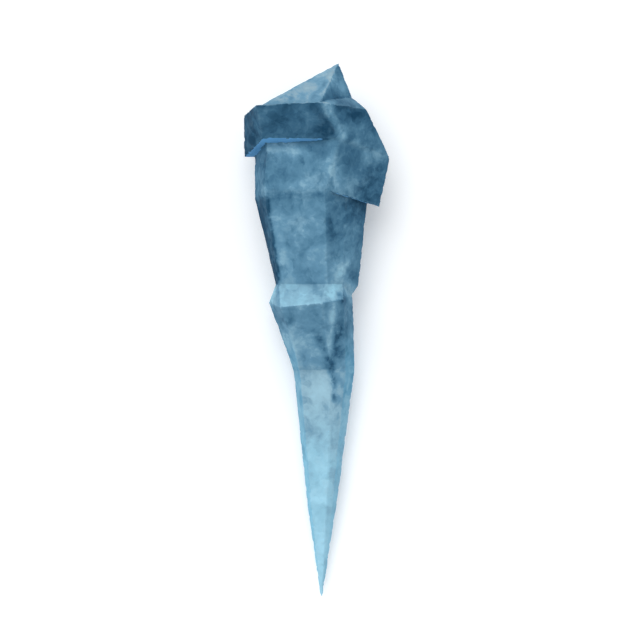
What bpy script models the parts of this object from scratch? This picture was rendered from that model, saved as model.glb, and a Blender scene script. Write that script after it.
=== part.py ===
"""A stout, faceted icicle that has broken off at its root and lies on its back.

It is one solid of ice. A tapering shaft is lofted through nine-cornered sections, with a
flared ledge part way down. Three convex lumps of ice are fused to its root: a brow that
overhangs the front and the left, a peak behind it, and a shoulder slab that overhangs the right.

Metres, +Z up. The icicle lies along Y with its root towards +Y and its tip towards -Y. It
rests on the back of its neck and of its ledge at Z = 0, and the origin is under the middle
of its bounding box.
"""

from collections import namedtuple

import bmesh
import bpy
from mathutils import Vector

MM = 0.001

# Driving dimensions, in millimetres.
PEAK_Y = 268.0  # the broken peak of the root
TIP_Y = -268.0
WIDEST_X = 73.5  # half the width, from the cheek of the brow to the point of the shoulder

# The outline that all the shaft's sections share: (corner, share of the width from the left,
# share of the height). Each section gives its own three top corners.
PROFILE = (
    ("floor_left", 0.24, 0.00),
    ("belly_left", 0.05, 0.18),
    ("side_left", 0.00, 0.47),
    ("front_left", None, None),
    ("ridge", None, None),
    ("front_right", None, None),
    ("side_right", 1.00, 0.50),
    ("belly_right", 0.94, 0.20),
    ("floor_right", 0.76, 0.00),
)
TOPS = ("front_left", "ridge", "front_right")

# left and right are a section's widest X and lift is its gap over the floor. across and up are
# the X and Z of its front left corner, its ridge and its front right corner. The stations are
# the Y of the left side, of those three corners and of the right side, because the folds
# between the tiers aren't square to the shaft.
Section = namedtuple("Section", "left right lift across up stations")
SHAFT = (
    Section(-63, 47, 0, (-49, 26, 38), (91, 99.3, 84), (206, 206, 206, 206, 206)),
    Section(-63, 50, 0, (-53, 7.5, 29), (88, 98, 76), (135, 140, 141, 135, 133)),
    Section(-42, 41, 3, (-39, 9.5, 25), (68, 76, 64), (48, 48, 48, 48, 47)),
    Section(-49, 35, 0, (-37.5, 4.5, 26), (84, 88.5, 78), (30, 25, 29, 33, 38)),
    Section(-38, 37, 2, (-27, 7, 27), (71, 74, 61), (1, 0, 1, 2, 3)),
    Section(-24, 37, 3, (-18, 13.5, 28), (51, 53, 44), (-39, -38, -38, -40, -42)),
    Section(-11, 20, 8, (-7, 9, 15.5), (30, 32.5, 26.5), (-168, -167, -167, -168, -168)),
    Section(3, 5, 9, (3.4, 4.2, 4.6), (10.6, 11, 10.6), (TIP_Y, TIP_Y, TIP_Y, TIP_Y, TIP_Y)),
)

# Corners of the brow, with the right end of the root's face.
BROW = {
    "top left": (-60, 223, 126),
    "top right": (1.5, 226, 122),
    "lip left": (-54.5, 192, 104),
    "lip right": (22, 191, 100),
    "band top": (11.5, 224.5, 118),
    "band foot": (31, 190.5, 95),
    "cheek top": (-WIDEST_X, 216, 66),
    "cheek lip": (-WIDEST_X, 176.5, 48),
    "saddle": (32.5, 235, 79),
    "top": (48.5, 221.5, 87),
    "point": (WIDEST_X, 173.5, 56),
    "saddle foot": (34, 232, 24),
    "top foot": (46, 218, 22),
    "point foot": (62, 176, 22),
    "cheek back": (-67, 208, 22),
    "cheek foot": (-66, 177.5, 30),
    "nape left": (-44, 226, 9),
    "nape right": (16, 232, 7),
    "throat left": (-50, 178, 10),
    "throat right": (20, 176, 8),
}

# Corners of the peak behind the brow. Its foot is buried in the brow.
PEAK = {
    "left": (-58, 221.5, 124),
    "root": (1.5, 225, 121),
    "peak": (21, PEAK_Y, 80),
    "right": (38, 223.5, 80),
    "peak foot": (13, 252, 32),
    "left foot": (-50, 224, 40),
    "right foot": (30, 222, 30),
    "buried": (0, 210, 70),
}

# Corners of the shoulder slab. Its head tucks in under the right end of the brow.
SHOULDER = {
    "ridge head": (23.5, 193, 98.3),
    "band head": (30, 193, 93.5),
    "point": (73, 176, 56),
    "heel": (62, 126, 50),
    "lip": (23.5, 137, 86),
    "ridge foot": (8.5, 140.5, 97.3),
    "point back": (64, 172, 20),
    "heel back": (52, 134, 16),
    "lip back": (12, 148, 20),
    "nape": (12, 200, 16),
    "floor": (38, 176, 4),
}


def corner(section, name, across, up):
    """One corner of a section of the shaft, in millimetres."""
    if name in TOPS:
        i = TOPS.index(name)
        return Vector((section.across[i], section.stations[i + 1], section.up[i]))
    return Vector((
        section.left + across * (section.right - section.left),
        section.stations[0 if name.endswith("left") else -1],
        section.lift + up * (max(section.up) - section.lift),
    ))


def new_object(name, shape, collection):
    """Give a bmesh to a new object, with its faces turned outwards."""
    bmesh.ops.recalc_face_normals(shape, faces=shape.faces)
    mesh = bpy.data.meshes.new(name)
    shape.to_mesh(mesh)
    shape.free()
    made = bpy.data.objects.new(name, mesh)
    collection.objects.link(made)
    return made


def loft(name, sections, collection):
    """Skin the shaft through its sections and close both of its ends."""
    shape = bmesh.new()
    rings = [[shape.verts.new(corner(section, *row) * MM) for row in PROFILE] for section in sections]
    count = len(PROFILE)
    for here, there in zip(rings, rings[1:]):
        for i in range(count):
            j = (i + 1) % count
            shape.faces.new((here[i], here[j], there[j], there[i]))
    shape.faces.new(rings[0])
    shape.faces.new(rings[-1])
    bmesh.ops.triangulate(shape, faces=shape.faces, quad_method="SHORT_EDGE")
    return new_object(name, shape, collection)


def hull(name, corners, collection):
    """One convex lump of ice round its corners."""
    shape = bmesh.new()
    for place in corners.values():
        shape.verts.new(Vector(place) * MM)
    made = bmesh.ops.convex_hull(shape, input=shape.verts)
    inside = {g for g in made["geom_interior"] if isinstance(g, bmesh.types.BMVert)}
    bmesh.ops.delete(shape, geom=list(inside), context="VERTS")
    return new_object(name, shape, collection)


def ice_material():
    """Pale blue ice."""
    ice = bpy.data.materials.new("ice")
    ice.use_nodes = True
    shader = ice.node_tree.nodes["Principled BSDF"]
    shader.inputs["Base Color"].default_value = (0.13, 0.33, 0.47, 1.0)
    shader.inputs["Roughness"].default_value = 0.3
    shader.inputs["Metallic"].default_value = 0.0
    return ice


def fuse(body, lump):
    """Join a lump to the body."""
    join = body.modifiers.new("join " + lump.name, "BOOLEAN")
    join.operation = "UNION"
    join.solver = "EXACT"
    join.object = lump
    lump.hide_render = True
    lump.display_type = "WIRE"


def main():
    for old in list(bpy.data.objects):
        bpy.data.objects.remove(old)
    home = bpy.data.collections.new("icicle")
    lumps = bpy.data.collections.new("lumps")
    for collection in (home, lumps):
        bpy.context.scene.collection.children.link(collection)
    icicle = loft("icicle", SHAFT, home)
    fuse(icicle, hull("brow", BROW, lumps))
    fuse(icicle, hull("peak", PEAK, lumps))
    fuse(icicle, hull("shoulder", SHOULDER, lumps))
    icicle.data.materials.append(ice_material())


main()
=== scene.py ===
"""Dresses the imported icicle: cloudy blue ice with crisp folds, on a pale floor under soft light."""

import math
from typing import NamedTuple

import bmesh
import bpy
import numpy as np
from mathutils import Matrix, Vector
from mathutils.bvhtree import BVHTree


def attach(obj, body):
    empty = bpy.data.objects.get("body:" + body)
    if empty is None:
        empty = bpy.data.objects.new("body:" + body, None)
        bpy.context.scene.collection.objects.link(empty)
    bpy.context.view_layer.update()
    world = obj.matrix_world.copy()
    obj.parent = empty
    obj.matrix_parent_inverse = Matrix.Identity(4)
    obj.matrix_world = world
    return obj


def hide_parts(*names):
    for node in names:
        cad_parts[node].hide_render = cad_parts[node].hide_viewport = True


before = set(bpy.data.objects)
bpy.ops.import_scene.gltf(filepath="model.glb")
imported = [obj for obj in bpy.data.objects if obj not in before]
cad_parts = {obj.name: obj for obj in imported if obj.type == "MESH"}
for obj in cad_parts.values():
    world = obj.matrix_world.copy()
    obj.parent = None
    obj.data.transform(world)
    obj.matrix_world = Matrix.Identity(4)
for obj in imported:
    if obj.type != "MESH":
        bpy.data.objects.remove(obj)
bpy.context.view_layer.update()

bl_info = {
    "name": "Icicle",
    "version": (1, 0, 0),
    "blender": (4, 5, 0),
    "location": "3D View > Sidebar > Icicle",
    "description": "A faceted icicle of cloudy blue ice lying on a pale floor",
    "category": "Object",
}

MM = 0.001
NODE = "icicle"

MERGE_DISTANCE = 0.01 * MM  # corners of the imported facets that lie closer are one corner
# The frost on the crisp folds is rougher ice and also a painted highlight along the edges.
CRISP_FOLD = math.radians(11)  # a flatter fold has no frost and no nicks
SHORTEST_FOLD = 3 * MM
SHARP_EDGE = math.radians(24)  # the shading runs on softly over a flatter edge
CREASE_REACH = 3  # times as far as a fold's frost
LEAST_SOFTNESS = 0.05  # a vertex that is less soft isn't smoothed
FACES_UP = (-0.9, -0.3)  # how far up a facet faces where the streaks begin to show, and show in full
GIRTH_SLABS = 40  # along the ice, in each of which its girth is measured
PITTED = (0.56, 0.74)  # the noise where a pit begins, and where it is deepest
NICKED = (0.50, 0.66)  # the same for a nick in a fold

FIELD_HEIGHT = 60 * MM  # the height over the floor at which Studio.field is measured
CAMERA_PLACE = (2.5 * MM, 12.7 * MM)
KEY_FROM = Vector((-0.22, 0.58, 0.80))  # the direction that the key light comes from
FLOOR_GAP = 0.3 * MM  # between the floor and the lowest point of the ice


# Sizes and colours


def length(name, words, value):
    """A length setting."""
    return bpy.props.FloatProperty(name=name, description=words, default=value, unit="LENGTH")


def strength(name, words, value):
    """A setting for how strong a light is."""
    return bpy.props.FloatProperty(name=name, description=words, default=value, min=0.0)


def colour(name, words, value):
    """A colour setting."""
    return bpy.props.FloatVectorProperty(
        name=name, description=words, default=value, size=3, min=0.0, max=1.0, subtype="COLOR"
    )


class IceShape(bpy.types.PropertyGroup):
    """How the ice's surface is broken up."""

    detail: bpy.props.IntProperty(
        name="Detail", description="Octree depth of the fine mesh", default=9, min=6, max=9
    )
    fill: bpy.props.FloatProperty(
        name="Fill", description="Share of the octree's width that the ice takes up", default=0.79, max=0.99
    )
    sliver: length("Sliver", "Shorter edges of the fine mesh are collapsed", 0.45 * MM)
    swell_depth: length("Swell depth", "Height of the slow swells on a facet", 0.7 * MM)
    swell_size: length("Swell size", "Length of one swell", 26 * MM)
    pit_depth: length("Pit depth", "Depth of the melt pits", 0.5 * MM)
    pit_size: length("Pit size", "Spacing of the melt pits", 8 * MM)
    chip_depth: length("Chip depth", "Depth of the nicks along the folds", 0.9 * MM)
    chip_size: length("Chip size", "Length of one nick", 7 * MM)
    # The frost along a fold also lightens it as a painted highlight.
    fold_width: length("Fold width", "How far a fold's frost reaches", 1.6 * MM)
    blend: bpy.props.IntProperty(
        name="Blend", description="How many times the soft steps are smoothed", default=24, min=0
    )


class IceColours(bpy.types.PropertyGroup):
    """Colours of the ice: those that its tone runs through, and those that are mixed in."""

    # Abyss is also the colour of the painted shade in the sunk folds.
    abyss: colour("Abyss", "Dark hollows in the thickest ice", (0.012, 0.062, 0.122))
    deep: colour("Deep", "Ice in the shade of an overhang", (0.047, 0.145, 0.243))
    root: colour("Root", "Thick ice at the root", (0.097, 0.238, 0.358))
    body: colour("Body", "The body of the ice", (0.148, 0.324, 0.465))
    # Lighter ice; on facets that face the root it stands for painted light.
    lighter_ice: colour("Worn", "Facets that face the root", (0.242, 0.446, 0.575))
    # A grey tint, put only where facets at the root face the key light; it stands partly for painted light.
    chalk_in_light: colour("Chalk", "Weathered facets at the root", (0.300, 0.370, 0.400))
    haze: colour("Haze", "Grey air where the long spike begins", (0.450, 0.485, 0.495))
    pale: colour("Pale", "Thin ice", (0.318, 0.600, 0.745))
    tip: colour("Tip", "The thinnest ice", (0.412, 0.730, 0.888))
    cloud: colour("Cloud", "Milky patches of trapped air", (0.370, 0.600, 0.720))
    under: colour("Under", "Light that comes through the overhangs", (0.145, 0.420, 0.770))
    rim: colour("Rim", "Light that gathers in the sides of thin ice", (0.085, 0.450, 0.690))
    absorption: colour("Absorption", "What is left of light that crosses the ice", (0.35, 0.70, 0.88))

    def ramp(self):
        """The colours from the darkest ice to the lightest."""
        names = ("abyss", "deep", "root", "body", "lighter_ice", "pale", "tip")
        return [tuple(getattr(self, name)) for name in names]


class Studio(bpy.types.PropertyGroup):
    """Floor, lights and camera."""

    floor_size: length("Floor", "Width of the floor", 14.0)
    floor: colour("Floor colour", "The pale floor", (0.955, 0.96, 0.965))
    floor_glow: strength("Floor glow", "Light that the floor gives off, which fills the shadow", 0.12)
    camera_height: length("Camera height", "Height of the camera over the floor", 3.06)
    field: length("Field", "Width that the camera sees, about halfway up the ice", 0.64)
    key: strength("Key light", "Strength of the soft key light", 1.5)
    key_softness: bpy.props.FloatProperty(
        name="Key softness",
        description="Angle across the key light",
        default=math.radians(50),
        subtype="ANGLE",
    )
    sky: strength("Sky", "Strength of the sky", 0.78)
    sky_colour: colour("Sky colour", "Tint of the sky", (0.94, 0.97, 1.0))


# Node trees


def add_node(tree, kind, inputs=None, **settings):
    """A node with its settings and inputs. An input is a value, or an output of another node."""
    node = tree.nodes.new(kind)
    for key, value in settings.items():
        setattr(node, key, value)
    for key, value in (inputs or {}).items():
        socket = node.inputs[key]
        if isinstance(value, bpy.types.NodeSocket):
            tree.links.new(value, socket)
        else:
            socket.default_value = value
    return node


def maths(tree, operation, a, b, c=0.0):
    """The value of a Math node of either kind of tree."""
    return add_node(tree, "ShaderNodeMath", {0: a, 1: b, 2: c}, operation=operation).outputs[0]


def product(tree, first, *others):
    """All the values multiplied."""
    for value in others:
        first = maths(tree, "MULTIPLY", first, value)
    return first


def shift(tree, operation, a, b):
    """The vector of a Vector Math node of either kind of tree. b is a number where a is scaled."""
    inputs = {0: a, "Scale" if operation == "SCALE" else 1: b}
    return add_node(tree, "ShaderNodeVectorMath", inputs, operation=operation).outputs[0]


def ramp(tree, value, low, high, out_low=0.0, out_high=1.0):
    """value, smoothly mapped from low..high to out_low..out_high and held there outside."""
    node = add_node(
        tree,
        "ShaderNodeMapRange",
        {"Value": value, "From Min": low, "From Max": high, "To Min": out_low, "To Max": out_high},
        interpolation_type="SMOOTHSTEP",
    )
    return node.outputs["Result"]


def noise(tree, place, scale, detail=3.0, roughness=0.55, distortion=0.0):
    """The value of a Noise Texture node of either kind of tree."""
    inputs = {"Vector": place, "Scale": scale, "Detail": detail}
    inputs |= {"Roughness": roughness, "Distortion": distortion}
    return add_node(tree, "ShaderNodeTexNoise", inputs).outputs[0]


def mix(tree, share, first, second):
    """The colour of the first, an output, with a share of the second, a plain colour, mixed in."""
    inputs = {0: share, 6: first, 7: (*second, 1.0)}
    return add_node(tree, "ShaderNodeMix", inputs, data_type="RGBA").outputs[2]


def new_group(name, kind, sockets):
    """A node group with named sockets: (name, in or out, type, default)."""
    tree = bpy.data.node_groups.new(name, kind)
    for label, way, form, default in sockets:
        socket = tree.interface.new_socket(label, in_out=way, socket_type="NodeSocket" + form)
        if default is not None:
            socket.default_value = default
    return tree, tree.nodes.new("NodeGroupInput").outputs, tree.nodes.new("NodeGroupOutput").inputs


# Shape of the ice


def clean_copy(name, source):
    """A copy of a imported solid, with its doubles merged."""
    shape = bmesh.new()
    shape.from_mesh(source.data)
    bmesh.ops.remove_doubles(shape, verts=shape.verts, dist=MERGE_DISTANCE)
    bmesh.ops.recalc_face_normals(shape, faces=shape.faces)
    mesh = bpy.data.meshes.new(name)
    shape.to_mesh(mesh)
    shape.free()
    copy = bpy.data.objects.new(name, mesh)
    bpy.context.scene.collection.objects.link(copy)
    return copy


def make_plain(piece):
    """Turn a piece with its modifiers into a plain mesh."""
    bpy.context.view_layer.update()
    seen = piece.evaluated_get(bpy.context.evaluated_depsgraph_get())
    mesh = bpy.data.meshes.new_from_object(seen)
    piece.modifiers.clear()
    old, piece.data = piece.data, mesh
    mesh.name = piece.name
    bpy.data.meshes.remove(old)


def facets_of(solid):
    """A tree that finds the nearest point and normal on the solid's facets."""
    corners = [vert.co.copy() for vert in solid.data.vertices]
    return BVHTree.FromPolygons(corners, [list(face.vertices) for face in solid.data.polygons])


def fit_to_facets(piece, facets, least):
    """Set the fine mesh on the facets and collapse its bad edges.

    An edge is bad where it is shorter than least or joins more than two faces.
    """
    shape = bmesh.new()
    shape.from_mesh(piece.data)
    for vert in shape.verts:
        vert.co = facets.find_nearest(vert.co)[0]
    spare = [edge for edge in shape.edges if edge.calc_length() < least or len(edge.link_faces) > 2]
    bmesh.ops.collapse(shape, edges=spare)
    shape.to_mesh(piece.data)
    shape.free()


def folds_of(solid, least):
    """The solid's crisp folds: (start, end, 1 where it juts out and -1 where it is sunk)."""
    shape = bmesh.new()
    shape.from_mesh(solid.data)
    shape.normal_update()
    found = []
    for edge in shape.edges:
        crisp = len(edge.link_faces) == 2 and edge.calc_face_angle() > least
        if crisp and edge.calc_length() > SHORTEST_FOLD:
            start, end = (vert.co.copy() for vert in edge.verts)
            found.append((start, end, 1.0 if edge.is_convex else -1.0))
    shape.free()
    return found


def nearness(points, folds, reach, sign):
    """1 on the folds of that sign, falling to 0 past reach."""
    nearest = np.full(len(points), np.inf)
    for start, end, way in folds:
        if way * sign < 0:
            continue
        a, b = np.array(start), np.array(end)
        along = b - a
        share = np.clip((points - a) @ along / (along @ along), 0.0, 1.0)
        nearest = np.minimum(nearest, np.linalg.norm(points - (a + share[:, None] * along), axis=1))
    return np.exp(-((nearest / reach) ** 2))


def store(mesh, name, values):
    """Keep one value for each vertex as a named attribute."""
    mesh.attributes.new(name, "FLOAT", "POINT").data.foreach_set("value", np.asarray(values, np.float32))


class Streak(NamedTuple):
    """A streak on the upper side: its two ends and its reach seen from above, in mm, and its strength."""

    start: tuple
    end: tuple
    reach: float
    strength: float


# A strength under 0 darkens the ice.
STREAKS = {
    "peak, broad stroke": Streak((-4, 244), (-36, 229), 5, 0.13),
    "peak's foot": Streak((-44, 229), (-10, 230), 4, 0.12),
    "peak, dark stroke": Streak((10, 247), (-6, 231), 3, -0.16),
    "peak, pale stroke": Streak((16, 255), (5, 234), 3, 0.16),
    "peak's dark side": Streak((19, 250), (26, 236), 8, 0.23),
    "saddle": Streak((24, 229), (42, 218), 9, -0.22),
    # Painted highlight beside the brow's convex edge.
    "cheek's pale band": Streak((9, 224), (26, 194), 4, 0.26),
    "cheek": Streak((34, 212), (52, 184), 13, 0.12),
    "cheek's hollow": Streak((35, 214), (39, 208), 5, -0.10),
    "shoulder's heel": Streak((58, 162), (45, 140), 13, -0.15),
    "brow's face": Streak((-50, 205), (-10, 203), 12, 0.05),
    "brow's right end": Streak((2, 201), (14, 197), 5, -0.12),
    "brow's right edge": Streak((-5, 222), (13, 201), 3, -0.12),
    # Painted shade on the brow's left flank.
    "brow's left flank": Streak((-72, 214), (-72, 176), 8, -0.24),
    "neck, left cloud": Streak((-45, 181), (-14, 176), 8, 0.15),
    "neck, right cloud": Streak((14, 166), (19, 146), 8, 0.15),
    # Painted shadow under and beside the overhanging shoulder.
    "shade under the shoulder": Streak((28, 124), (46, 114), 13, -0.14),
    "shade by the shoulder": Streak((13, 107), (14, 98), 7, -0.12),
    "neck's left flank": Streak((-60, 184), (-60, 148), 5, 0.06),
    "neck's left fold": Streak((-51, 190), (-51, 146), 2, -0.10),
    "neck's lower edge": Streak((-46, 146), (6, 147), 3, 0.06),
    "waist's upper edge": Streak((-46, 136), (4, 136), 4, -0.10),
    "waist's cloud": Streak((-32, 114), (-4, 124), 11, 0.07),
    "waist's face": Streak((-20, 122), (-14, 62), 16, -0.10),
    "waist's left edge": Streak((-37, 98), (-32, 62), 4, 0.08),
    # Painted shade on the waist's left fold and flank, in the crown's shadow.
    "waist's left fold": Streak((-51, 132), (-40, 52), 3, -0.40),
    "waist's left flank": Streak((-58, 126), (-45, 54), 7, -0.50),
    "waist's right hollow": Streak((17, 77), (35, 56), 5, -0.10),
    # Painted highlight along the ridge.
    "ridge, over the ledge": Streak((28, 68), (14, 40), 6, 0.28),
    "ridge, under the ledge": Streak((16, 26), (11, -20), 4, 0.28),
    # Painted light on the ledge's left end, which faces the key light.
    "ledge's left end": Streak((-46, 44), (-50, 34), 6, 0.42),
    "ledge's right end": Streak((36, 44), (35, 34), 6, 0.12),
    "ledge's hollow": Streak((22, 38), (26, 32), 4, -0.24),
    "hollow right of the ridge": Streak((21, 3), (18, -20), 7, -0.32),
    "hollow left of the ridge": Streak((2, -4), (11, -26), 5, -0.30),
    "root of the spike": Streak((14, -34), (16, -66), 4, -0.36),
    "spike's upper veil": Streak((8, -76), (6, -84), 6, -0.10),
    "spike's lower veil": Streak((2, -106), (10, -116), 6, -0.12),
    "spike's clear stretch": Streak((4, -136), (3, -168), 9, 0.08),
}
# Where a step of the solid runs on softly.
BLENDS = {
    "shoulder from the brow": Streak((26, 192), (68, 177), 8, 1.4),
    "shoulder from the neck": Streak((14, 188), (6, 142), 6, 0.8),
    "saddle from the peak": Streak((8, 232), (44, 222), 4, 0.6),
    "waist's ridge": Streak((7, 138), (10, 54), 6, 0.6),
}


def girth_along(points):
    """How thick the ice is at or before each point, from the tip on, as a share of its thickest part."""
    places = np.linspace(points[:, 1].min(), points[:, 1].max(), GIRTH_SLABS)
    step = places[1] - places[0]
    girths = []
    for place in places:
        slab = points[np.abs(points[:, 1] - place) < step]
        wide, high = np.ptp(slab[:, 0]), np.ptp(slab[:, 2])
        girths.append(math.sqrt(wide * high))
    return np.interp(points[:, 1], places, np.maximum.accumulate(girths) / max(girths))


def streaks_at(points, normals, streaks):
    """The strength of the streaks at each point."""
    total = np.zeros(len(points))
    plan = points[:, :2] / MM
    for streak in streaks.values():
        start, along = np.array(streak.start), np.subtract(streak.end, streak.start)
        share = np.clip((plan - start) @ along / (along @ along), 0.0, 1.0)
        away = np.linalg.norm(plan - (start + share[:, None] * along), axis=1)
        total += streak.strength * np.exp(-((away / streak.reach) ** 2))
    return total * np.interp(normals[:, 2], FACES_UP, (0.0, 1.0))


def soften(mesh, values, rounds):
    """values of the vertices, each averaged with its neighbours a number of times."""
    ends = np.empty(2 * len(mesh.edges), np.int32)
    mesh.edges.foreach_get("vertices", ends)
    first, last = ends.reshape(-1, 2).T
    count = 1.0 + np.bincount(ends, minlength=len(values))
    for _ in range(rounds):
        total = values + np.bincount(first, values[last], len(values))
        total += np.bincount(last, values[first], len(values))
        values = total / count
    return values


def measure_ice(piece, facets, folds, shape):
    """Store what the ice's look depends on at each vertex of the fine mesh."""
    nearest = [facets.find_nearest(vert.co) for vert in piece.data.vertices]
    points = np.array([place for place, _, _, _ in nearest])
    normals = np.array([normal for _, normal, _, _ in nearest])
    soft = np.clip(streaks_at(points, normals, BLENDS), 0.0, 1.0)
    store(piece.data, "thin", 1.0 - girth_along(points))
    # How each facet faces; the tone takes its painted light and shade from these.
    store(piece.data, "rootward", np.maximum(normals[:, 1], 0.0))
    store(piece.data, "tipward", np.maximum(-normals[:, 1], 0.0) * (1.0 - soft))
    store(piece.data, "sideways", np.abs(normals[:, 0]))
    store(piece.data, "downward", np.maximum(-normals[:, 2], 0.0))
    store(piece.data, "rightward", soften(piece.data, normals[:, 0], rounds=8))
    store(piece.data, "streak", streaks_at(points, normals, STREAKS))
    store(piece.data, "fold", nearness(points, folds, shape.fold_width, 1))
    # Painted shade along the sunk folds.
    store(piece.data, "crease", nearness(points, folds, CREASE_REACH * shape.fold_width, -1) * (1.0 - soft))
    group = piece.vertex_groups.new(name="soft")
    for i in np.flatnonzero(soft > LEAST_SOFTNESS):
        group.add([int(i)], float(soft[i]), "REPLACE")


def relief_tree():
    """Geometry nodes that swell, pit and chip the surface of the ice, and keep it off the floor."""
    tree, given, result = new_group(
        "ice relief",
        "GeometryNodeTree",
        (
            ("Geometry", "INPUT", "Geometry", None),
            ("Swell depth", "INPUT", "Float", 0.0),
            ("Swell size", "INPUT", "Float", 1.0),
            ("Pit depth", "INPUT", "Float", 0.0),
            ("Pit size", "INPUT", "Float", 1.0),
            ("Chip depth", "INPUT", "Float", 0.0),
            ("Chip size", "INPUT", "Float", 1.0),
            ("Material", "INPUT", "Material", None),
            ("Geometry", "OUTPUT", "Geometry", None),
        ),
    )
    place = add_node(tree, "GeometryNodeInputPosition").outputs[0]
    normal = add_node(tree, "GeometryNodeInputNormal").outputs[0]
    fold = add_node(tree, "GeometryNodeInputNamedAttribute", {"Name": "fold"}).outputs[0]

    def per(size):
        return maths(tree, "DIVIDE", 1.0, given[size])

    swell = maths(tree, "SUBTRACT", noise(tree, place, per("Swell size"), 1.0), 0.5)
    swell = product(tree, swell, 2.0, given["Swell depth"])
    pits = ramp(tree, noise(tree, place, per("Pit size"), 2.5, 0.6, 0.4), *PITTED)
    pits = product(tree, pits, given["Pit depth"])
    chips = ramp(tree, noise(tree, place, per("Chip size"), 2.0, 0.6), *NICKED)
    chips = product(tree, chips, fold, given["Chip depth"])
    lift = maths(tree, "SUBTRACT", maths(tree, "SUBTRACT", swell, pits), chips)
    moved = shift(tree, "ADD", place, shift(tree, "SCALE", normal, lift))
    split = add_node(tree, "ShaderNodeSeparateXYZ", {0: moved}).outputs
    above = maths(tree, "MAXIMUM", split[2], 0.0)
    moved = add_node(tree, "ShaderNodeCombineXYZ", {0: split[0], 1: split[1], 2: above}).outputs[0]
    set_place = add_node(tree, "GeometryNodeSetPosition", {"Geometry": given["Geometry"], "Position": moved})
    real = add_node(tree, "GeometryNodeRealizeInstances", {0: set_place.outputs[0]})
    painted = {"Geometry": real.outputs[0], "Material": given["Material"]}
    paint = add_node(tree, "GeometryNodeSetMaterial", painted)
    tree.links.new(paint.outputs[0], result["Geometry"])
    return tree


def add_nodes_modifier(piece, tree, values):
    """A Geometry Nodes modifier with its named inputs set before the piece is first evaluated."""
    modifier = piece.modifiers.new(tree.name, "NODES")
    modifier.node_group = tree
    sockets = [item for item in tree.interface.items_tree if item.in_out == "INPUT"]
    identifiers = {socket.name: socket.identifier for socket in sockets}
    for name, value in values.items():
        modifier[identifiers[name]] = value


def refine(piece, facets, shape):
    """Give the piece a fine, even mesh that lies on its facets."""
    fine = piece.modifiers.new("fine", "REMESH")
    fine.mode = "SHARP"
    fine.octree_depth = shape.detail
    fine.scale = shape.fill
    fine.sharpness = 1.0
    fine.use_remove_disconnected = False
    make_plain(piece)
    fit_to_facets(piece, facets, shape.sliver)


def weather(piece, shape, material):
    """Smooth the soft steps, swell, pit and chip the surface, and give it its material."""
    blend = piece.modifiers.new("blend", "SMOOTH")
    blend.vertex_group = "soft"
    blend.factor = 0.5
    blend.iterations = shape.blend
    sizes = {
        f"{form.capitalize()} {measure}": getattr(shape, f"{form}_{measure}")
        for form in ("swell", "pit", "chip")
        for measure in ("depth", "size")
    }
    add_nodes_modifier(piece, relief_tree(), sizes | {"Material": material})
    make_plain(piece)


def build_ice(shape, material):
    """The icicle as one piece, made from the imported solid."""
    ice = clean_copy("cloudy_ice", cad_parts[NODE])
    facets, folds = facets_of(ice), folds_of(ice, CRISP_FOLD)
    refine(ice, facets, shape)
    measure_ice(ice, facets, folds, shape)
    weather(ice, shape, material)
    ice.data.shade_smooth()
    ice.data.set_sharp_from_angle(angle=SHARP_EDGE)
    return ice


# Finishes


BEND = 14 * MM  # how far the edges of the clouds and hollows wander
HOLLOWS_SHARE, GRAIN_SHARE, DABS_SHARE = 0.7, 0.35, 0.16  # of the mottle, next to 1 for the patches
CLOUDED = (0.72, 0.92)  # the noise where a cloud begins, and where it is full
HOLLOWED = (0.44, 0.32)  # the same for a hollow
CLOUD_GRAIN = 0.4  # how much the grain frays a cloud

# Noise waves per metre.
STREAK_NOISE = 95.0
FROST_HIGHLIGHT_NOISE = 60.0
SHEEN_NOISE = 75.0
GRIT_NOISE = 110.0
FINE_GRIT_NOISE = 420.0


def mottle_group():
    """Clouded ice: a mottle round 0 of patches, hollows, grain and dabs, and masks of clouds and hollows."""
    tree, given, result = new_group(
        "clouded ice",
        "ShaderNodeTree",
        (
            ("Place", "INPUT", "Vector", None),
            ("Patch scale", "INPUT", "Float", 30.0),
            ("Hollow scale", "INPUT", "Float", 55.0),
            ("Dab scale", "INPUT", "Float", 110.0),
            ("Fine scale", "INPUT", "Float", 210.0),
            ("Mottle", "OUTPUT", "Float", None),
            ("Clouds", "OUTPUT", "Float", None),
            ("Hollows", "OUTPUT", "Float", None),
        ),
    )
    wander = {"Vector": given["Place"], "Scale": given["Hollow scale"], "Detail": 3.0}
    wander = add_node(tree, "ShaderNodeTexNoise", wander).outputs["Color"]
    wander = shift(tree, "SCALE", shift(tree, "SUBTRACT", wander, (0.5, 0.5, 0.5)), BEND)
    bent = shift(tree, "ADD", given["Place"], wander)
    patches = noise(tree, bent, given["Patch scale"], 4.0, 0.55, 0.2)
    hollows = noise(tree, bent, given["Hollow scale"], 4.0, 0.55, 0.2)
    grain = noise(tree, bent, given["Fine scale"], 3.0, 0.6, 0.2)
    cells = add_node(tree, "ShaderNodeTexVoronoi", {"Vector": bent, "Scale": given["Dab scale"]})
    dabs = add_node(tree, "ShaderNodeSeparateXYZ", {0: cells.outputs["Color"]}).outputs[0]
    mottle = maths(tree, "SUBTRACT", patches, 0.5)
    for value, share in ((hollows, HOLLOWS_SHARE), (grain, GRAIN_SHARE), (dabs, DABS_SHARE)):
        mottle = maths(tree, "MULTIPLY_ADD", maths(tree, "SUBTRACT", value, 0.5), share, mottle)
    tree.links.new(mottle, result["Mottle"])
    clouds = maths(tree, "MULTIPLY_ADD", grain, CLOUD_GRAIN, patches)
    tree.links.new(ramp(tree, clouds, *CLOUDED), result["Clouds"])
    tree.links.new(ramp(tree, hollows, *HOLLOWED), result["Hollows"])
    return tree


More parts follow.
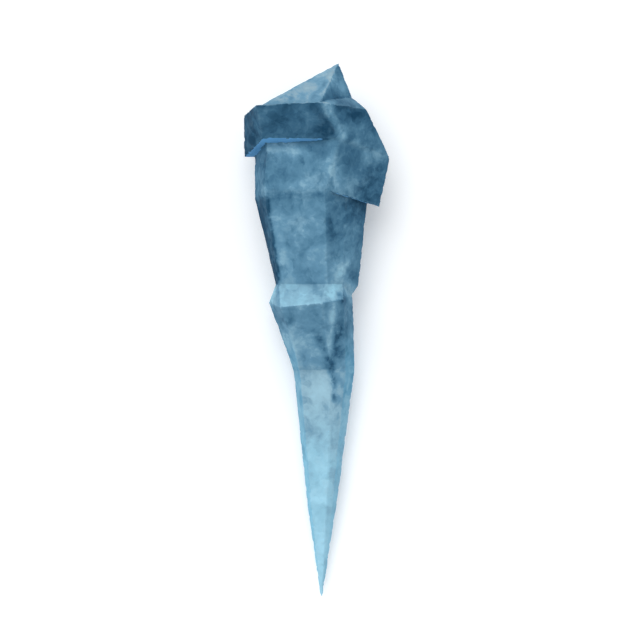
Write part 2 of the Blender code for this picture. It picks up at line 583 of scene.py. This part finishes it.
def ramp_colours(tree, value, colours):
    """A colour ramp through (place, colour) stops."""
    node = add_node(tree, "ShaderNodeValToRGB", {0: value})
    stops = node.color_ramp.elements
    while len(stops) < len(colours):
        stops.new(0.5)
    for stop, (place, shade) in zip(stops, colours):
        stop.position = place
        stop.color = (*shade, 1.0)
    return node.outputs[0]


class Facing(NamedTuple):
    """How the painted light and shade change the tone on facets that face one way."""

    begins: float  # how far a facet faces that way where the change begins
    full: float  # and where it is full
    thick: float  # the change in the thickest ice
    thinning: float  # what the thinnest ice adds to the change


FACES_ROOT = (0.24, 0.52)
# Painted light and shade by the way a facet faces: facets that face the root, where the key light comes
# from, are lighter; those that face the tip, the right or down are darker, and so are the steep sides of
# thick ice.
PAINTED_LIGHT_BY_FACING = {
    "rightward": Facing(0.25, 0.55, -0.08, -0.08),
    "rootward": Facing(*FACES_ROOT, 0.17, 0.0),
    "tipward": Facing(0.20, 0.55, -0.14, 0.0),
    "sideways": Facing(0.70, 0.95, -0.115, 0.12),
    "downward": Facing(0.10, 0.70, -0.16, 0.0),
}
ROOT_TONE = 0.235  # the tone of the thickest ice
THIN_TONE = 0.78  # what the thinnest ice adds to it
DARKEST_TONE = 0.03  # before the mottle
COLOUR_TONES = (0.0, 0.15, 0.30, 0.45, 0.60, 0.78, 1.0)  # the tone of each colour in IceColours.ramp

# Ramps: two values, then what the ramp gives at each of them. It is 0 and 1 where only two are written.
# By the tone.
MOTTLED = (0.0, 0.42, 0.42, 0.62)
CHALKED = (0.40, 0.62, 0.08, 0.50)
HAZED = (0.50, 0.75, 0.0, 0.24)
MILKED = (0.15, 0.55, 0.04, 0.32)
# Frost on the folds, which is also a painted highlight, by the tone.
FROST_HIGHLIGHT_BY_TONE = (0.15, 0.55, 0.3, 1.0)
# By how thin the ice is.
AT_THE_ROOT = (0.30, 0.15)
SPIKE_BEGINS = (0.46, 0.52)
SPIKE_GOES_ON = (0.70, 0.58)
THIN_SIDES = (0.35, 0.55)
SHADED = (0.45, 0.85, 0.28, 0.0)
# By how far a facet faces one way.
OVERHANGS = (0.82, 0.90)
NOT_SIDEWAYS = (0.30, 0.15)
STEEP_SIDES = (0.70, 0.90)
# By noise.
RAGGED = (0.36, 0.60, 0.55, 1.3)
# Patches of frost on the folds, which is also a painted highlight.
FROST_HIGHLIGHT_PATCHES = (0.46, 0.66, 0.0, 0.22)
SHEEN = (0.35, 0.70, 0.34, 0.56)

UNDER_SHARE, RIM_SHARE, CREASE_SHARE = 0.86, 0.26, 0.15  # of their colours where they are full
FROST_ROUGHNESS = 0.3
FINE_GRIT_SHARE = 0.4
ICE_IOR = 1.31
ICE_TRANSMISSION = 0.15
ABSORPTION_DENSITY = 12.0


def ice_tone(tree, kept, place, mottle):
    """How light the ice is, by its thickness, its streaks and its mottle, with light and shade painted in by
    the way it faces.
    """
    tone = maths(tree, "MULTIPLY_ADD", kept["thin"], THIN_TONE, ROOT_TONE)
    for name, facing in PAINTED_LIGHT_BY_FACING.items():
        change = maths(tree, "MULTIPLY_ADD", kept["thin"], facing.thinning, facing.thick)
        tone = maths(tree, "MULTIPLY_ADD", ramp(tree, kept[name], facing.begins, facing.full), change, tone)
    ragged = ramp(tree, noise(tree, place, STREAK_NOISE, 4.0, 0.6, 0.4), *RAGGED)
    tone = maths(tree, "MULTIPLY_ADD", kept["streak"], ragged, tone)
    tone = maths(tree, "MAXIMUM", tone, DARKEST_TONE)
    # Dark ice is calmer than light ice.
    return maths(tree, "MULTIPLY_ADD", mottle, ramp(tree, tone, *MOTTLED), tone)


def ice_colour(tree, colours, kept, tone, clouded, frost_and_highlight):
    """The tone's colour, with the other colours of the ice mixed in where they belong."""
    thin = kept["thin"]
    body = ramp_colours(tree, tone, list(zip(COLOUR_TONES, colours.ramp())))
    # A grey tint on the light facets at the root's end that face the root, the side the key light comes
    # from: partly painted light.
    end = product(tree, ramp(tree, kept["rootward"], *FACES_ROOT), ramp(tree, thin, *AT_THE_ROOT))
    body = mix(tree, product(tree, end, ramp(tree, tone, *CHALKED)), body, colours.chalk_in_light)
    # Light facets where the long spike begins.
    start = product(tree, ramp(tree, thin, *SPIKE_BEGINS), ramp(tree, thin, *SPIKE_GOES_ON))
    body = mix(tree, product(tree, start, ramp(tree, tone, *HAZED)), body, colours.haze)
    body = mix(tree, product(tree, clouded["Clouds"], ramp(tree, tone, *MILKED)), body, colours.cloud)
    body = mix(tree, product(tree, clouded["Hollows"], ramp(tree, thin, *SHADED)), body, colours.deep)
    # Overhangs that face the tip squarely.
    under = ramp(tree, kept["tipward"], *OVERHANGS)
    under = product(tree, under, ramp(tree, kept["sideways"], *NOT_SIDEWAYS), UNDER_SHARE)
    body = mix(tree, under, body, colours.under)
    # The steep sides of the thin ice.
    rim = ramp(tree, kept["sideways"], *STEEP_SIDES)
    rim = product(tree, rim, ramp(tree, thin, *THIN_SIDES), RIM_SHARE)
    body = mix(tree, rim, body, colours.rim)
    # Frost on the convex folds, lightened like a painted highlight along the edges.
    body = mix(tree, frost_and_highlight, body, colours.cloud)
    # Painted shade in the sunk folds, in the colour of the abyss.
    return mix(tree, product(tree, kept["crease"], CREASE_SHARE), body, colours.abyss)


def ice_material(colours):
    """Cloudy blue ice, darker where it is thick, with frosted folds that are also lightened as a painted
    highlight, and with painted light and shade by the way each facet faces.
    """
    material = bpy.data.materials.new("cloudy ice")
    material.use_nodes = True
    tree = material.node_tree
    shader = tree.nodes["Principled BSDF"]
    place = add_node(tree, "ShaderNodeTexCoord").outputs["Object"]
    kept = {
        name: add_node(tree, "ShaderNodeAttribute", attribute_name=name).outputs["Fac"]
        for name in ("thin", *PAINTED_LIGHT_BY_FACING, "streak", "fold", "crease")
    }
    clouded = add_node(tree, "ShaderNodeGroup", {"Place": place}, node_tree=mottle_group()).outputs

    tone = ice_tone(tree, kept, place, clouded["Mottle"])
    # Frost on the convex folds: rougher, and lighter as a painted highlight along the edges.
    frost_and_highlight = ramp(tree, noise(tree, place, FROST_HIGHLIGHT_NOISE), *FROST_HIGHLIGHT_PATCHES)
    frost_and_highlight = product(tree, kept["fold"], frost_and_highlight, ramp(tree, tone, *FROST_HIGHLIGHT_BY_TONE))
    tree.links.new(ice_colour(tree, colours, kept, tone, clouded, frost_and_highlight), shader.inputs["Base Color"])

    rough = ramp(tree, noise(tree, place, SHEEN_NOISE, 4.0, 0.6), *SHEEN)
    tree.links.new(maths(tree, "MULTIPLY_ADD", frost_and_highlight, FROST_ROUGHNESS, rough), shader.inputs["Roughness"])
    fine_grit = noise(tree, place, FINE_GRIT_NOISE, 4.0, 0.65)
    height = maths(tree, "MULTIPLY_ADD", fine_grit, FINE_GRIT_SHARE, noise(tree, place, GRIT_NOISE, 3.0))
    bump = add_node(tree, "ShaderNodeBump", {"Height": height, "Strength": 0.35, "Distance": 0.8 * MM})
    tree.links.new(bump.outputs[0], shader.inputs["Normal"])
    shader.inputs["IOR"].default_value = ICE_IOR
    shader.inputs["Specular IOR Level"].default_value = 0.0
    shader.inputs["Transmission Weight"].default_value = ICE_TRANSMISSION
    lost = {"Color": (*colours.absorption, 1.0), "Density": ABSORPTION_DENSITY}
    absorb = add_node(tree, "ShaderNodeVolumeAbsorption", lost)
    tree.links.new(absorb.outputs[0], tree.nodes["Material Output"].inputs["Volume"])
    return material


# Stage


def floor_material(studio):
    """A matt pale floor that gives off a little light."""
    material = bpy.data.materials.new("pale floor")
    material.use_nodes = True
    tree = material.node_tree
    shader = tree.nodes["Principled BSDF"]
    shader.inputs["Base Color"].default_value = (*studio.floor, 1.0)
    shader.inputs["Roughness"].default_value = 0.9
    shader.inputs["Specular IOR Level"].default_value = 0.1
    shader.inputs["Emission Color"].default_value = (1.0, 1.0, 1.0, 1.0)
    shader.inputs["Emission Strength"].default_value = studio.floor_glow
    return material


def build_floor(studio):
    """A wide level floor."""
    shape = bmesh.new()
    bmesh.ops.create_grid(shape, x_segments=8, y_segments=8, size=studio.floor_size / 2)
    bmesh.ops.translate(shape, verts=shape.verts, vec=(0, 0, -FLOOR_GAP))
    mesh = bpy.data.meshes.new("pale_floor")
    shape.to_mesh(mesh)
    shape.free()
    floor = bpy.data.objects.new("pale_floor", mesh)
    mesh.materials.append(floor_material(studio))
    bpy.context.scene.collection.objects.link(floor)
    return floor


def add_key(studio):
    """A broad soft key light from over the root's end."""
    light = bpy.data.lights.new("key", "SUN")
    light.energy = studio.key
    light.angle = studio.key_softness
    lamp = bpy.data.objects.new("key", light)
    lamp.rotation_euler = KEY_FROM.to_track_quat("Z", "Y").to_euler()
    bpy.context.scene.collection.objects.link(lamp)


def add_camera(studio):
    """A camera that looks straight down on the icicle, with its root at the top of the picture."""
    camera = bpy.data.objects.new("camera", bpy.data.cameras.new("camera"))
    camera.location = (*CAMERA_PLACE, studio.camera_height)
    distance = studio.camera_height - FIELD_HEIGHT
    camera.data.lens = camera.data.sensor_width * distance / studio.field
    camera.data.clip_end = 100.0
    bpy.context.scene.collection.objects.link(camera)
    bpy.context.scene.camera = camera


def light_studio(studio):
    """An even sky, the key light and plain colours."""
    world = bpy.data.worlds.new("studio")
    world.use_nodes = True
    sky = world.node_tree.nodes["Background"]
    sky.inputs["Color"].default_value = (*studio.sky_colour, 1.0)
    sky.inputs["Strength"].default_value = studio.sky
    bpy.context.scene.world = world
    add_key(studio)
    bpy.context.scene.view_settings.view_transform = "Standard"


# Operators


class ICICLE_OT_ice(bpy.types.Operator):
    """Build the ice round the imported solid"""

    bl_idname = "icicle.ice"
    bl_label = "Cloudy ice"

    def execute(self, context):
        ice = build_ice(context.scene.ice_shape, ice_material(context.scene.ice_colours))
        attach(ice, "root")
        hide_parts(NODE)
        return {"FINISHED"}


class ICICLE_OT_stage(bpy.types.Operator):
    """Lay the pale floor and set up the lights and the camera"""

    bl_idname = "icicle.stage"
    bl_label = "Floor, lights and camera"

    def execute(self, context):
        studio = context.scene.studio
        build_floor(studio)
        light_studio(studio)
        add_camera(studio)
        return {"FINISHED"}


class ICICLE_PT_panel(bpy.types.Panel):
    """Lists the pieces of the icicle and their settings"""

    bl_idname = "ICICLE_PT_panel"
    bl_label = "Icicle"
    bl_space_type = "VIEW_3D"
    bl_region_type = "UI"
    bl_category = "Icicle"

    def draw(self, context):
        for operator, holders in (
            (ICICLE_OT_ice, (context.scene.ice_shape, context.scene.ice_colours)),
            (ICICLE_OT_stage, (context.scene.studio,)),
        ):
            box = self.layout.box()
            box.operator(operator.bl_idname)
            for holder in holders:
                for name in type(holder).__annotations__:
                    box.prop(holder, name)


SETTINGS = {"ice_shape": IceShape, "ice_colours": IceColours, "studio": Studio}
CLASSES = (*SETTINGS.values(), ICICLE_OT_ice, ICICLE_OT_stage, ICICLE_PT_panel)


def register():
    for each in CLASSES:
        bpy.utils.register_class(each)
    for name, group in SETTINGS.items():
        setattr(bpy.types.Scene, name, bpy.props.PointerProperty(type=group))


def unregister():
    for name in SETTINGS:
        delattr(bpy.types.Scene, name)
    for each in reversed(CLASSES):
        bpy.utils.unregister_class(each)


def main():
    """Build the ice and its stage."""
    register()
    bpy.ops.icicle.ice()
    bpy.ops.icicle.stage()


if __name__ == "__main__":
    main()
